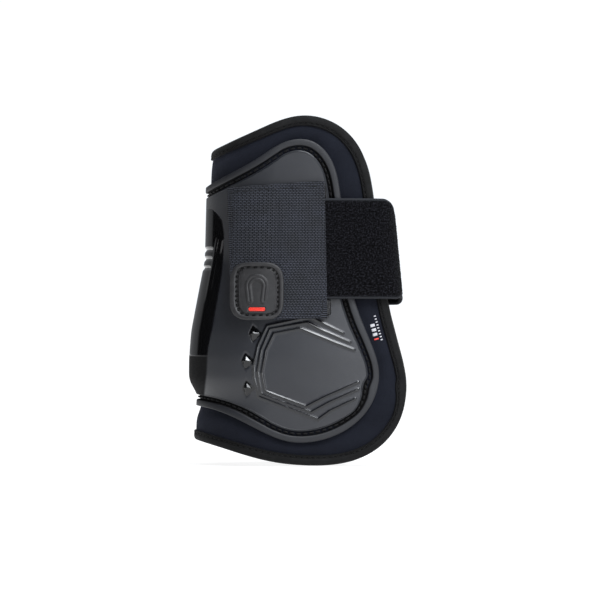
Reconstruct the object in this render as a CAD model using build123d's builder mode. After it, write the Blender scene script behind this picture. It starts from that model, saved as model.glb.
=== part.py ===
"""Hind fetlock boot: a C-shaped horse boot with a moulded shell, neoprene lining and one closing strap.

Frame: +Z runs up the leg, -X is the back of the leg where the boot is closed, +X is the open front.
The outer side of the boot, where the strap fastens, faces -Y.  The origin is the middle of the lowest
point of the boot.  Every wall is a layer between two offsets of one surface, the leg's, so a depth
is a distance outside the leg: 0 is the face against the leg and 5 is the outer face of the neoprene.
"""

import math
import os

from build123d import *

os.makedirs("parts", exist_ok=True)

# ---- driving dimensions, mm ---------------------------------------------------------------------
# The leg's surface at a few heights: (height, x at the back of the leg, half width of the leg).
STATIONS = [
    (-12, -44.7, 28.5),
    (22, -44.7, 29.7),
    (28, -42.0, 30.2),
    (33.5, -42.0, 30.5),
    (40, -46.3, 31.0),
    (52, -46.2, 31.2),
    (64, -45.2, 30.2),
    (88, -40.6, 27.6),
    (98, -38.6, 27.0),
    (130, -37.8, 27.0),
    (144, -36.9, 27.0),
    (180, -32.6, 27.0),
]
SIDE_RADIUS = 200.0  # gentle inward curve of both sides towards the front
FRONT_END = 75.0  # the leg's surface stops here, in front of the boot
BACK_END = -90.0  # side outlines are closed here, behind the boot
CURVE_STEPS = 40  # points along an inset outline
OUTER, INNER = -1, 1  # the side of the leg each wall stands on, as the sign of Y
SIDE_NAMES = {OUTER: "outer_side", INNER: "inner_side"}
REACH = 60.0  # side faces are swept this far to each side
SPLIT_GAP = 0.3  # gap between the two halves at the back of the leg

FOAM_FACE = 5.0  # outer face of the neoprene
TAPE = 1.0  # thickness of the edge binding
BINDING_WIDTH = 5.0
BINDING_SEAM = (3.5, 4.1)  # distance of the seam from the boot's edge
SHELL_FOOT = 5.05
SHELL_FACE = 7.4
PANEL_FACE = 7.0
GROOVE_FLOOR = 5.9
RIM_WIDTH = 3.2
GROOVE_WIDTH = 2.2
SHELL_SEAM = (4.0, 4.6)  # distance of the seam from the shell's edge
THREAD_HEIGHT = 0.35
RIB_WIDTH = 1.1
STUD = (5.0, 6.2)
SPINE_RIB_HEIGHTS = (94.3, 98.6, 103.0)
SPINE_RIB = (1.6, 0.9)  # height of each groove on the back, and its depth
SPINE_RIB_FRONT = -42.0

STRAP_WIDTH = 48.0
STRAP_MIDDLE = 103.5  # height of the strap's centre line
STRAP_THICK = 1.8
STRAP_DROP = 3.0  # how much lower the strap runs on the inner side
FRONT_PINCH = (5.0, 0.8)  # how much its top and bottom edges turn in across the front
LOOP_PATCH = (7.1, 8.1)
STRAP_DEPTH = (8.4, 8.4 + STRAP_THICK)
ANCHOR_DEPTH = (7.5, 7.5 + STRAP_THICK)
WEBBING = (10.3, 11.5)
BADGE = (11.55, 13.6)
FRONT_X = 47.0  # middle of the strap's thickness where it crosses the front, at its centre line
FRONT_LEAN = 0.095  # the strap's front stands this much further out for each mm down
FOLD_X = 38.0  # both fold lines at the front, at the strap's centre line
TAB_EDGE_X = 16.4  # where the strap comes out from under the tab
FOLD_GAP = 0.3

# ---- side outlines: (x, height), from the back over the top, down the front and to the back -----
BOOT_EDGE = [
    (-75.0, 137.0), (-38.6, 152.4), (-17.0, 161.4), (2.4, 167.1), (19.5, 162.6), (30.2, 151.2),
    (36.3, 128.4), (39.7, 102.0), (43.4, 77.6), (49.0, 55.2), (52.2, 38.1), (48.7, 20.4),
    (39.2, 8.5), (23.6, 1.4), (6.0, 0.0), (-11.0, 1.6), (-38.6, 8.7), (-75.0, 16.6),
]
SHELL_EDGE = [
    (-75.0, 117.5), (-42.4, 134.8), (-17.6, 147.6), (-4.0, 155.0), (7.1, 154.8), (15.7, 147.1),
    (20.6, 130.0), (23.6, 103.0), (27.6, 79.0), (34.8, 60.0), (39.2, 44.0), (34.8, 28.1),
    (22.9, 16.7), (8.6, 11.6), (-3.3, 11.4), (-17.6, 16.7), (-38.0, 25.8), (-75.0, 28.0),
]
TAB_OUTLINE = [(-34.0, 132.6), (13.2, 135.7), (14.6, 70.2), (-16.0, 69.7), (-28.9, 79.0), (-32.6, 92.0)]
HOOK_OUTLINE = [(-32.2, 131.0), (13.8, 134.1), (16.4, 71.8), (-15.0, 71.3), (-27.4, 80.2), (-30.9, 92.0)]
PATCH_OUTLINE = [(-30.0, 128.5), (12.6, 132.0), (13.0, 73.4), (-14.0, 73.0), (-25.5, 81.2), (-28.8, 92.0)]
BAND_END_X = (-8.0, 16.4)

# Three nested ribs on the outer panel, each an open hexagon round the fetlock bone.
RIB_LINES = [
    [(27.1, 55.2), (18.1, 58.6), (1.4, 65.5), (-11.0, 63.1), (-14.8, 55.2), (-16.7, 44.3),
     (-15.2, 35.5), (4.3, 28.2), (13.3, 32.9), (30.0, 40.2)],
    [(25.2, 58.8), (11.9, 64.5), (4.8, 68.3), (-12.9, 65.2), (-17.1, 55.2), (-18.8, 44.8),
     (-17.1, 34.2), (6.7, 25.5), (15.7, 30.5), (29.0, 36.4)],
    [(21.9, 63.1), (10.5, 68.8), (6.5, 71.2), (-14.3, 66.7), (-18.6, 57.6), (-20.7, 48.1),
     (-20.5, 41.9), (-18.1, 32.9), (10.0, 22.1), (15.7, 26.2), (27.6, 31.9)],
]
STUD_PLACES = [(-20.0, 63.0), (-23.6, 50.0), (-23.2, 37.0)]

BADGE_MIDDLE = (-19.0, 83.2)
BADGE_SIZE = (25.5, 27.5)
BADGE_CORNER = 7.0
BADGE_RIM = 1.6
BADGE_FIELD = 12.7  # depth of the sunk field inside the badge's rim
SHOE_SIZE = (11.0, 13.0)  # outside of the horseshoe in relief
SHOE_WIDTH = 2.8
INLAY = (8.0, 1.8)
LABEL_SPAN = (58.5, 73.0)  # heights of the printed side mark


# ---- the leg's surface --------------------------------------------------------------------------
def leg_section(height, back_x, half_width, depth):
    """The closed outline of everything less than `depth` outside the leg, at one height."""
    middle_x = back_x + half_width
    half = half_width + depth
    side = SIDE_RADIUS + depth
    turn = math.asin((FRONT_END - middle_x) / side)
    end_y = half_width - SIDE_RADIUS + side * math.cos(turn)
    mid_x = middle_x + side * math.sin(turn / 2)
    mid_y = half_width - SIDE_RADIUS + side * math.cos(turn / 2)
    with BuildSketch(Plane.XY.offset(height)) as section:
        with BuildLine():
            ThreePointArc((middle_x, half), (middle_x - half, 0), (middle_x, -half))
            ThreePointArc((middle_x, -half), (mid_x, -mid_y), (FRONT_END, -end_y))
            Line((FRONT_END, -end_y), (FRONT_END, end_y))
            ThreePointArc((FRONT_END, end_y), (mid_x, mid_y), (middle_x, half))
        make_face()
    return section.sketch


LEG_BODIES = {}


def within(depth):
    """Everything less than `depth` outside the leg; each depth is made once."""
    if depth not in LEG_BODIES:
        with BuildPart() as body:
            for height, back_x, half_width in STATIONS:
                add(leg_section(height, back_x, half_width, depth))
            loft(ruled=True)
        LEG_BODIES[depth] = body.part
    return LEG_BODIES[depth]


def leg_at_strap(x, depth):
    """The point `depth` outside the outer side of the leg at the strap's middle, and its heading."""
    above = next(i for i, row in enumerate(STATIONS) if row[0] > STRAP_MIDDLE)
    low, high = STATIONS[above - 1], STATIONS[above]
    share = (STRAP_MIDDLE - low[0]) / (high[0] - low[0])
    back_x = low[1] + share * (high[1] - low[1])
    half_width = low[2] + share * (high[2] - low[2])
    side = SIDE_RADIUS + depth
    heading = math.asin((x - back_x - half_width) / side)
    return (x, half_width - SIDE_RADIUS + side * math.cos(heading)), heading


# ---- side faces and layers ----------------------------------------------------------------------
def inset_points(points, inset):
    """Points along a side outline, moved `inset` towards the inside of the boot."""
    edge = Spline(*points, mode=Mode.PRIVATE)
    moved = []
    for step in range(CURVE_STEPS + 1):
        place = edge @ (step / CURVE_STEPS)
        heading = edge % (step / CURVE_STEPS)
        moved.append((place.X + inset * heading.Y, place.Y - inset * heading.X))
    return moved


def edge_face(points, inset=0.0):
    """Everything inside a side outline, closed behind the boot."""
    curve = inset_points(points, inset)
    top, bottom = curve[0], curve[-1]
    with BuildSketch(Plane.XZ) as face:
        with BuildLine():
            Spline(*curve)
            Polyline(bottom, (BACK_END, bottom[1]), (BACK_END, top[1]), top)
        make_face()
    return face.sketch


def edge_strip(points, near_edge, far_edge):
    """The strip between two distances from a side outline."""
    whole = edge_face(points, near_edge)
    middle = edge_face(points, far_edge)
    with BuildSketch(Plane.XZ) as strip:
        add(whole)
        add(middle, mode=Mode.SUBTRACT)
    return strip.sketch


def polygon_face(points, inset=0.0):
    with BuildSketch(Plane.XZ) as face:
        with BuildLine():
            Polyline(*points, close=True)
        make_face()
        if inset:
            offset(amount=-inset, mode=Mode.REPLACE)
    return face.sketch


def polygon_strip(points, near_edge, far_edge):
    whole = polygon_face(points, near_edge)
    middle = polygon_face(points, far_edge)
    with BuildSketch(Plane.XZ) as strip:
        add(whole)
        add(middle, mode=Mode.SUBTRACT)
    return strip.sketch


def layer(face, inner_depth, outer_depth, side):
    """The part of one side's wall behind a side face, between two depths."""
    back_y = side * SPLIT_GAP / 2
    # The face looks along -Y and is swept that way.
    start_y = max(back_y, side * REACH)
    outside = within(outer_depth)
    inside = within(inner_depth)
    with BuildPart() as wall:
        extrude(face.moved(Location((0, start_y, 0))), amount=REACH - SPLIT_GAP / 2)
        add(outside, mode=Mode.INTERSECT)
        add(inside, mode=Mode.SUBTRACT)
    return wall.part


def save(shape, name):
    """Label a finished piece and write its STEP file."""
    solids = [s for s in shape.solids() if s.volume > 0.2]
    piece = solids[0] if len(solids) == 1 else Compound(children=solids)
    piece.label = name
    export_step(piece, f"parts/{name}.step")
    return piece


# ---- neoprene lining, its taped edge and the tape's seam ----------------------------------------
foam_face = edge_face(BOOT_EDGE, TAPE)
tape_strip = edge_strip(BOOT_EDGE, 0, BINDING_WIDTH)
tape_seam_strip = edge_strip(BOOT_EDGE, *BINDING_SEAM)
tape_face = FOAM_FACE + TAPE
for side, side_name in SIDE_NAMES.items():
    foam = layer(foam_face, 0.0, FOAM_FACE, side)
    save(foam, "neoprene_lining_" + side_name)
    folded_tape = layer(tape_strip, -TAPE, tape_face, side)
    with BuildPart() as edge_binding:
        add(folded_tape)
        add(foam, mode=Mode.SUBTRACT)
    save(edge_binding.part, "edge_binding_" + side_name)
    tape_seam = layer(tape_seam_strip, tape_face, tape_face + THREAD_HEIGHT, side)
    save(tape_seam, "binding_seam_" + side_name)

# ---- moulded shell and its seam -----------------------------------------------------------------
with BuildSketch(Plane.XZ) as raised_lines:
    for rib_line in RIB_LINES:
        with BuildLine():
            Polyline(*rib_line)
        trace(line_width=RIB_WIDTH)
    with Locations(*STUD_PLACES):
        Polygon((-STUD[0] / 2, 0), (0, STUD[1] / 2), (STUD[0] / 2, 0), (0, -STUD[1] / 2))
inside_groove = edge_face(SHELL_EDGE, RIM_WIDTH + GROOVE_WIDTH)
with BuildSketch(Plane.XZ) as panel:
    add(inside_groove)
    add(raised_lines.sketch, mode=Mode.SUBTRACT)
with BuildSketch(Plane.XZ) as spine_grooves:
    for rib_height in SPINE_RIB_HEIGHTS:
        with Locations(((BACK_END + SPINE_RIB_FRONT) / 2, rib_height)):
            Rectangle(SPINE_RIB_FRONT - BACK_END, SPINE_RIB[0])
shell_outline = edge_face(SHELL_EDGE)
groove_strip = edge_strip(SHELL_EDGE, RIM_WIDTH, RIM_WIDTH + GROOVE_WIDTH)
shell_seam_strip = edge_strip(SHELL_EDGE, *SHELL_SEAM)

clear_of_shell = SHELL_FACE + 1
for side, side_name in SIDE_NAMES.items():
    whole_shell = layer(shell_outline, SHELL_FOOT, SHELL_FACE, side)
    groove_cut = layer(groove_strip, GROOVE_FLOOR, clear_of_shell, side)
    panel_cut = layer(panel.sketch, PANEL_FACE, clear_of_shell, side)
    spine_cut = layer(spine_grooves.sketch, PANEL_FACE - SPINE_RIB[1], clear_of_shell, side)
    with BuildPart() as shell:
        add(whole_shell)
        add(groove_cut, mode=Mode.SUBTRACT)
        add(panel_cut, mode=Mode.SUBTRACT)
        add(spine_cut, mode=Mode.SUBTRACT)
    save(shell.part, "shell_" + side_name)
    shell_seam = layer(shell_seam_strip, GROOVE_FLOOR, GROOVE_FLOOR + THREAD_HEIGHT, side)
    save(shell_seam, "shell_seam_" + side_name)

# ---- loop patch on the outer side, with its seam ------------------------------------------------
save(layer(polygon_face(PATCH_OUTLINE), *LOOP_PATCH, OUTER), "loop_patch")
patch_face = LOOP_PATCH[1] + 0.02
save(
    layer(polygon_strip(PATCH_OUTLINE, 2.0, 2.6), patch_face, patch_face + 0.2, OUTER),
    "loop_patch_seam",
)


# ---- strap --------------------------------------------------------------------------------------
def lean_at(height):
    """How far the strap's front stands ahead of its centre line's place, at a height."""
    return -FRONT_LEAN * (height - STRAP_MIDDLE)


def strap_face(back_x, fold_x, drop):
    """The strap laid on one side, from back_x to a fold line that leans with the front."""
    low = STRAP_MIDDLE - STRAP_WIDTH / 2 - drop
    high = low + STRAP_WIDTH
    return polygon_face(
        [(back_x, low), (fold_x + lean_at(low), low), (fold_x + lean_at(high), high), (back_x, high)]
    )


# The inner end is sewn to the shell; the seam is a box of stitches.
ANCHOR_BACK_X = -4.0
save(
    layer(strap_face(ANCHOR_BACK_X, FOLD_X - FOLD_GAP / 2, STRAP_DROP), *ANCHOR_DEPTH, INNER),
    "band_inner_end",
)
anchor_low = STRAP_MIDDLE - STRAP_WIDTH / 2 - STRAP_DROP
anchor_box = [
    (ANCHOR_BACK_X, anchor_low), (ANCHOR_BACK_X + 20, anchor_low),
    (ANCHOR_BACK_X + 20, anchor_low + STRAP_WIDTH), (ANCHOR_BACK_X, anchor_low + STRAP_WIDTH),
]
anchor_face = ANCHOR_DEPTH[1] + 0.02
save(
    layer(polygon_strip(anchor_box, 2.0, 2.6), anchor_face, anchor_face + THREAD_HEIGHT, INNER),
    "band_inner_end_seam",
)

# The front loop is a ribbon swept up a leaning line and trimmed to the strap's height.
near_point, near_heading = leg_at_strap(FOLD_X, sum(STRAP_DEPTH) / 2)
far_point, far_heading = leg_at_strap(FOLD_X, sum(ANCHOR_DEPTH) / 2)
near_radius = (FRONT_X - FOLD_X) / (1 - math.sin(near_heading))
far_radius = (FRONT_X - FOLD_X) / (1 - math.sin(far_heading))
BASE = 40.0
with BuildPart() as band_front:
    with BuildSketch(Plane.XY.offset(BASE).shift_origin((lean_at(BASE), 0, BASE))):
        with BuildLine():
            near_bend = JernArc(
                (near_point[0], -near_point[1]),
                (math.cos(near_heading), math.sin(near_heading)),
                near_radius,
                90 - math.degrees(near_heading),
            )
            far_bend = JernArc(
                far_point,
                (math.cos(far_heading), -math.sin(far_heading)),
                far_radius,
                -90 + math.degrees(far_heading),
            )
            Line(near_bend @ 1, far_bend @ 1)
        trace(line_width=STRAP_THICK)
    extrude(amount=130, dir=(-FRONT_LEAN, 0, 1))
    # Front view of the strap: level on each side, stepping down towards the inner side, and
    # narrower where it is folded round the front.
    with BuildSketch(Plane.YZ):
        with BuildLine():
            top, bottom = STRAP_MIDDLE + STRAP_WIDTH / 2, STRAP_MIDDLE - STRAP_WIDTH / 2
            Polyline(
                (-60, top), (-27, top), (-18, top - FRONT_PINCH[0]),
                (18, top - FRONT_PINCH[0]), (27, top - STRAP_DROP), (60, top - STRAP_DROP),
                (60, bottom - STRAP_DROP), (27, bottom - STRAP_DROP), (18, bottom + FRONT_PINCH[1]),
                (-18, bottom + FRONT_PINCH[1]), (-27, bottom), (-60, bottom),
                close=True,
            )
        make_face()
    extrude(amount=100, mode=Mode.INTERSECT)
    ahead = FOLD_X + FOLD_GAP / 2
    with BuildSketch(Plane.XZ):
        with BuildLine():
            Polyline(
                (ahead + lean_at(40), 40), (90, 40), (90, 170), (ahead + lean_at(170), 170), close=True,
            )
        make_face()
    extrude(amount=60, both=True, mode=Mode.INTERSECT)
save(band_front.part, "band_front")

save(
    layer(strap_face(TAB_EDGE_X + FOLD_GAP, FOLD_X - FOLD_GAP / 2, 0), *STRAP_DEPTH, OUTER),
    "band_outer_side",
)

# ---- tab: webbing over a hook patch, with the strap's end sewn between them ---------------------
strap_low = STRAP_MIDDLE - STRAP_WIDTH / 2
strap_high = STRAP_MIDDLE + STRAP_WIDTH / 2
band_end = [
    (BAND_END_X[0], strap_low), (BAND_END_X[1], strap_low),
    (BAND_END_X[1], strap_high), (BAND_END_X[0], strap_high),
]
save(layer(polygon_face(band_end), *STRAP_DEPTH, OUTER), "band_tab_end")
whole_hook = polygon_face(HOOK_OUTLINE)
with BuildSketch(Plane.XZ) as hook_face:
    add(whole_hook)
    with Locations(((BAND_END_X[0] - 0.2 + 20) / 2, STRAP_MIDDLE)):
        Rectangle(20.2 - BAND_END_X[0], STRAP_WIDTH + 0.4, mode=Mode.SUBTRACT)
save(layer(hook_face.sketch, *STRAP_DEPTH, OUTER), "tab_hook")
save(layer(polygon_face(TAB_OUTLINE), *WEBBING, OUTER), "tab_webbing")
webbing_face = WEBBING[1] + 0.02
tab_border = polygon_strip(TAB_OUTLINE, 2.4, 3.0)
with BuildSketch(Plane.XZ) as tab_seam:
    add(tab_border)
    with Locations((BAND_END_X[0] + 1, STRAP_MIDDLE)):
        Rectangle(0.6, STRAP_WIDTH - 4)
    with Locations(BADGE_MIDDLE):
        RectangleRounded(BADGE_SIZE[0] + 1, BADGE_SIZE[1] + 1, BADGE_CORNER, mode=Mode.SUBTRACT)
save(layer(tab_seam.sketch, webbing_face, webbing_face + THREAD_HEIGHT, OUTER), "tab_seam")

# ---- badge: a rubber plate with a horseshoe in relief -------------------------------------------
with BuildSketch(Plane.XZ) as badge_plate:
    with Locations(BADGE_MIDDLE):
        RectangleRounded(*BADGE_SIZE, BADGE_CORNER)
with BuildSketch(Plane.XZ) as badge_field:
    with Locations(BADGE_MIDDLE):
        field_width, field_height = BADGE_SIZE[0] - 2 * BADGE_RIM, BADGE_SIZE[1] - 2 * BADGE_RIM
        RectangleRounded(field_width, field_height, BADGE_CORNER - BADGE_RIM)
    # The horseshoe is left standing: a half ring with two straight heels.
    with Locations((BADGE_MIDDLE[0], BADGE_MIDDLE[1] + 2.5)):
        with BuildLine() as shoe_path:
            shoe_radius = (SHOE_SIZE[0] - SHOE_WIDTH) / 2
            shoe_bend = CenterArc((BADGE_MIDDLE[0], BADGE_MIDDLE[1] + 2.5), shoe_radius, 0, 180)
            Line(shoe_bend @ 0, (BADGE_MIDDLE[0] + shoe_radius - 0.8, BADGE_MIDDLE[1] - 4.5))
            Line(shoe_bend @ 1, (BADGE_MIDDLE[0] - shoe_radius + 0.8, BADGE_MIDDLE[1] - 4.5))
    trace(line_width=SHOE_WIDTH, mode=Mode.SUBTRACT)
whole_badge = layer(badge_plate.sketch, *BADGE, OUTER)
badge_cut = layer(badge_field.sketch, BADGE_FIELD, BADGE[1] + 1, OUTER)
with BuildPart() as badge:
    add(whole_badge)
    add(badge_cut, mode=Mode.SUBTRACT)
save(badge.part, "badge")

with BuildSketch(Plane.XZ) as inlay:
    with Locations((BADGE_MIDDLE[0], BADGE_MIDDLE[1] - 8.6)):
        RectangleRounded(*INLAY, 0.8)
save(layer(inlay.sketch, BADGE_FIELD + 0.02, BADGE_FIELD + 0.5, OUTER), "badge_inlay")

# ---- printed side mark near the front edge: three plain bars ------------------------------------
with BuildSketch(Plane.XZ) as side_mark:
    for share in (0.0, 0.5, 1.0):
        mark_height = LABEL_SPAN[0] + 2 + share * (LABEL_SPAN[1] - LABEL_SPAN[0] - 4)
        with Locations((38.4 - 0.25 * (mark_height - LABEL_SPAN[0]), mark_height)):
            Rectangle(3.0, 2.4, rotation=16)
mark_on = FOAM_FACE + 0.02
save(layer(side_mark.sketch, mark_on, mark_on + 0.15, OUTER), "side_mark")
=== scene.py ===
import math

import bpy
import numpy as np
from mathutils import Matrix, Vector


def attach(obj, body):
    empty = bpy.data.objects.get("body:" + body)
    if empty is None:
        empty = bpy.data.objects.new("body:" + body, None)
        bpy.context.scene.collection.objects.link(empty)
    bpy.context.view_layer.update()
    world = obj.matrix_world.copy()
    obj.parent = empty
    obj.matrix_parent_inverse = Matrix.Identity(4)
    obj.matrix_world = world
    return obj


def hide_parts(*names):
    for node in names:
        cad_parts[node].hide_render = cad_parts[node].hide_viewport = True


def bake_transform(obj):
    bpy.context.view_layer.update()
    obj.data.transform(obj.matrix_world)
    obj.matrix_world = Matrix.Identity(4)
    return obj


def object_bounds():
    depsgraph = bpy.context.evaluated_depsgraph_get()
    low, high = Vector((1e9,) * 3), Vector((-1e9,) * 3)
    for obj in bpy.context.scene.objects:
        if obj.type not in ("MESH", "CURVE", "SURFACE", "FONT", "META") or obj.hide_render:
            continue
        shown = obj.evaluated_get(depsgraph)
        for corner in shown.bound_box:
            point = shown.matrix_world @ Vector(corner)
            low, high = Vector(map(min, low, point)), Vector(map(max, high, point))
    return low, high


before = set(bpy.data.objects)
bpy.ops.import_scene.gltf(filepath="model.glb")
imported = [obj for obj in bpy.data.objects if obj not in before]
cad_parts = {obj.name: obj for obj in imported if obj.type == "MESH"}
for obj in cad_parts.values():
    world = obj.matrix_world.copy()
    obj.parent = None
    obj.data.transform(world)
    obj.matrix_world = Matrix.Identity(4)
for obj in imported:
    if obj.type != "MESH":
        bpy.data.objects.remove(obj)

CAD_BOX = [list(corner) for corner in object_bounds()]
MM = 0.001
rng = np.random.default_rng(7)


def link(name, data):
    thing = bpy.data.objects.new(name, data)
    bpy.context.scene.collection.objects.link(thing)
    return thing


# ---- the leg's surface and the side outlines, in mm, as the CAD has them ----
# Leg: (height, x at the back, half width).  A depth is a distance outside the leg.
STATIONS = np.array([
    (-12, -44.7, 28.5), (22, -44.7, 29.7), (28, -42.0, 30.2), (33.5, -42.0, 30.5),
    (40, -46.3, 31.0), (52, -46.2, 31.2), (64, -45.2, 30.2), (88, -40.6, 27.6),
    (98, -38.6, 27.0), (130, -37.8, 27.0), (144, -36.9, 27.0), (180, -32.6, 27.0),
])
SIDE_RADIUS = 200.0
BOOT_EDGE = [
    (-75.0, 137.0), (-38.6, 152.4), (-17.0, 161.4), (2.4, 167.1), (19.5, 162.6), (30.2, 151.2),
    (36.3, 128.4), (39.7, 102.0), (43.4, 77.6), (49.0, 55.2), (52.2, 38.1), (48.7, 20.4),
    (39.2, 8.5), (23.6, 1.4), (6.0, 0.0), (-11.0, 1.6), (-38.6, 8.7), (-75.0, 16.6),
]
SHELL_EDGE = [
    (-75.0, 117.5), (-42.4, 134.8), (-17.6, 147.6), (-4.0, 155.0), (7.1, 154.8), (15.7, 147.1),
    (20.6, 130.0), (23.6, 103.0), (27.6, 79.0), (34.8, 60.0), (39.2, 44.0), (34.8, 28.1),
    (22.9, 16.7), (8.6, 11.6), (-3.3, 11.4), (-17.6, 16.7), (-38.0, 25.8), (-75.0, 28.0),
]
# Depths of the faces of the foam, the shell's rim and its panel, then widths in from an edge.
FOAM_FACE, SHELL_FACE, PANEL_FACE = 5.0, 7.4, 7.0
BINDING_WIDTH, RIM_WIDTH, GROOVE_WIDTH = 5.0, 3.2, 2.2

PROFILE_Z = np.linspace(-40, 210, 501)


def soft_profile(column):
    """A station column as a smooth curve over PROFILE_Z."""
    raw = np.interp(PROFILE_Z, STATIONS[:, 0], STATIONS[:, column])
    reach = np.arange(-30, 31) * (PROFILE_Z[1] - PROFILE_Z[0])
    weight = np.exp(-0.5 * (reach / 2.2) ** 2)
    padded = np.pad(raw, 30, mode="edge")
    return np.convolve(padded, weight / weight.sum(), mode="valid")


BACK = soft_profile(1)
HALF = soft_profile(2)


def back_at(z):
    return np.interp(z, PROFILE_Z, BACK)


def half_at(z):
    return np.interp(z, PROFILE_Z, HALF)


def wrap(u, z, depth):
    """Points at distance u round the leg from its back (outer side positive), height z and depth."""
    u, z, depth = np.broadcast_arrays(np.asarray(u, float), z, depth)
    half = half_at(z)
    middle = back_at(z) + half
    bend = np.minimum(np.abs(u), half * math.pi / 2) / half
    run = np.maximum(np.abs(u) - half * math.pi / 2, 0) / SIDE_RADIUS
    on_back = np.abs(u) < half * math.pi / 2
    back_x = middle - (half + depth) * np.cos(bend)
    x = np.where(on_back, back_x, middle + (SIDE_RADIUS + depth) * np.sin(run))
    side_y = half - SIDE_RADIUS + (SIDE_RADIUS + depth) * np.cos(run)
    y = np.where(on_back, (half + depth) * np.sin(bend), side_y)
    return np.stack([x, -np.sign(u) * y, z], axis=-1)


def unroll(x, z, depth):
    """Distance round the leg of the side point (x, z) at a depth; 0 behind the back."""
    half = half_at(z)
    middle = back_at(z) + half
    bend = np.arccos(np.clip((middle - x) / (half + depth), 0, 1))
    run = np.arcsin(np.clip((x - middle) / (SIDE_RADIUS + depth), 0, 0.9))
    return np.where(x < middle, half * bend, half * math.pi / 2 + SIDE_RADIUS * run)


def unrolled(line, depth):
    """A line of side points (x, z) as (u, z)."""
    return np.stack([unroll(line[:, 0], line[:, 1], depth), line[:, 1]], axis=-1)


def run_length(line):
    """Distance along a line at each of its points."""
    return np.concatenate([[0], np.cumsum(np.hypot(*np.diff(line, axis=0).T))])


def spline(points, count):
    """A smooth curve through 2-D points, as `count` points."""
    p = np.array(points, float)
    t = run_length(p)
    n = len(t)
    h = np.diff(t)
    a = np.zeros((n, n))
    b = np.zeros((n, 2))
    a[0, 0] = a[-1, -1] = 1
    for i in range(1, n - 1):
        a[i, i - 1 : i + 2] = h[i - 1], 2 * (h[i - 1] + h[i]), h[i]
        b[i] = 6 * ((p[i + 1] - p[i]) / h[i] - (p[i] - p[i - 1]) / h[i - 1])
    m = np.linalg.solve(a, b)
    s = np.linspace(0, t[-1], count)
    k = np.clip(np.searchsorted(t, s) - 1, 0, n - 2)
    left, right, span = (s - t[k])[:, None], (t[k + 1] - s)[:, None], h[k][:, None]
    cubic = (m[k] * right**3 + m[k + 1] * left**3) / (6 * span)
    return cubic + (p[k] / span - m[k] * span / 6) * right + (p[k + 1] / span - m[k + 1] * span / 6) * left


def resample(line, stations):
    """Points of a polyline at shares (0..1) of its length."""
    s = run_length(line)
    s /= s[-1]
    return np.stack([np.interp(stations, s, column) for column in line.T], axis=-1)


# ---- unrolled loops ----
def wrapped_loop(edge, depth, counts, corners, fine=1.0):
    """The closed edge of a piece that wraps the back, unrolled to (u, z).

    It starts at the inner side's upper corner and runs over the back, down the outer side's
    front, back under the leg and up.  corners are the heights where the front edge starts and
    stops, near where it turns most, so that a grid filled in between stays inside.  counts are
    the points along the back and along the front; fine is how much closer the points are on the
    outer side."""
    side = spline(edge, 6000)
    keep = np.nonzero(side[:, 0] > back_at(side[:, 1]) - depth)[0]
    first, last = keep[0], keep[-1]
    half_loop = unrolled(side, depth)[first : last + 1]
    half_loop[0, 0] = half_loop[-1, 0] = 0
    top = np.argmax(half_loop[:, 1])
    right = np.argmax(half_loop[:, 0])
    start = top + np.argmin(np.abs(half_loop[top:right, 1] - corners[0]))
    low = right + np.argmin(half_loop[right:, 1])
    stop = right + np.argmin(np.abs(half_loop[right:low, 1] - corners[1]))
    mirror = np.array([-1, 1])
    over = np.concatenate([(half_loop[: start + 1] * mirror)[::-1], half_loop[1 : start + 1]])
    front = half_loop[start : stop + 1]
    under = np.concatenate([half_loop[stop:], (half_loop[stop:-1] * mirror)[::-1]])
    up = (front * mirror)[::-1]
    across = np.linspace(0, 1, counts[0] + 1)
    density = 1 + (fine - 1) * np.clip((across - 0.42) / 0.12, 0, 1)
    place = np.concatenate([[0], np.cumsum((1 / density)[1:])])
    place /= place[-1]
    down = np.linspace(0, 1, counts[1] + 1)
    return np.concatenate([
        resample(over, place)[:-1],
        resample(front, down)[:-1],
        resample(under, 1 - place[::-1])[:-1],
        resample(up, down)[:-1],
    ])


def inward(loop):
    """Unit normals of a clockwise closed (u, z) loop, pointing inside, a little smoothed."""
    ahead = np.roll(loop, -2, axis=0) - np.roll(loop, 2, axis=0)
    normal = np.stack([ahead[:, 1], -ahead[:, 0]], axis=-1)
    return normal / np.hypot(*normal.T)[:, None]


def four_sides(loop, counts):
    """A loop's top, right, bottom and left sides, which run rightward and downward."""
    across, down = counts
    closed = np.concatenate([loop, loop[:1]])
    bottom = closed[across + down : 2 * across + down + 1][::-1]
    left = closed[2 * across + down :][::-1]
    return closed[: across + 1], closed[across : across + down + 1], bottom, left


def coons(loop, counts):
    """A grid of (u, z) points inside a loop that has counts[0], counts[1] steps on its sides."""
    across, down = counts
    top, right, bottom, left = four_sides(loop, counts)
    s = np.linspace(0, 1, across + 1)[None, :, None]
    t = np.linspace(0, 1, down + 1)[:, None, None]
    ruled = (1 - t) * top[None] + t * bottom[None] + (1 - s) * left[:, None] + s * right[:, None]
    square = (1 - t) * ((1 - s) * top[0] + s * top[-1]) + t * ((1 - s) * bottom[0] + s * bottom[-1])
    return ruled - square


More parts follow.
